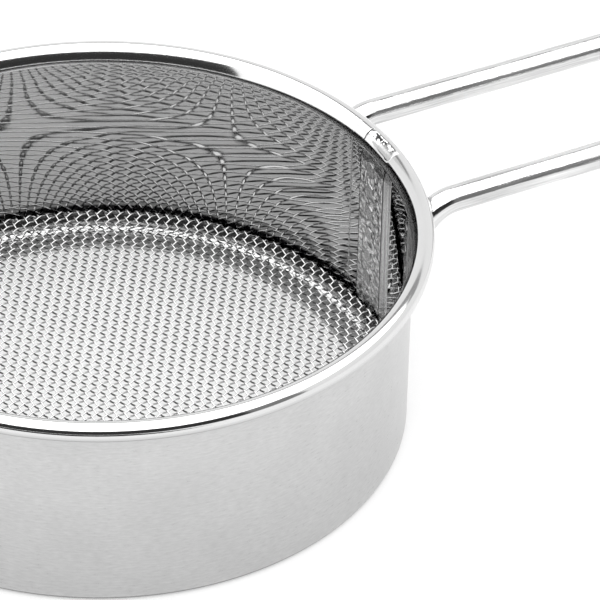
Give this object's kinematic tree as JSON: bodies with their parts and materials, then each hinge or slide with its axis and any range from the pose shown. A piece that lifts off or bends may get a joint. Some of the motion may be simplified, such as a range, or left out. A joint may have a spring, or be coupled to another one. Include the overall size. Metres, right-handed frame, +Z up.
{
  "type": "flour sifter",
  "caption": "Round sheet-steel drum with a rolled rim, a woven wire cloth near its foot and a long looped rod handle, for sifting flour by hand.",
  "frame": {"origin": "centre of the drum's foot circle, on the surface that the sifter stands on", "axes": "+Z up along the drum's axis, +X along the handle towards its hanging loop"},
  "size_m": [0.28, 0.14, 0.0482],
  "materials": {
    "drum_steel": "satin outside, near mirror inside",
    "rim_wire_steel": "drawn wire, hidden in the rolled rim",
    "mesh_steel": "bright drawn wire, woven and crimped",
    "ring_steel": "satin",
    "handle_steel": "polished stainless rod",
    "weld_steel": "cleaned weld metal"
  },
  "bodies": {
    "root": {"drum_band": "drum_steel", "rim_core_wire": "rim_wire_steel", "seam_spot_welds": "weld_steel", "mesh_warp_wires": "mesh_steel", "mesh_weft_wires": "mesh_steel", "mesh_retaining_ring": "ring_steel", "handle_loop": "handle_steel", "handle_weld_left": "weld_steel", "handle_weld_right": "weld_steel"}
  },
  "joints": []
}
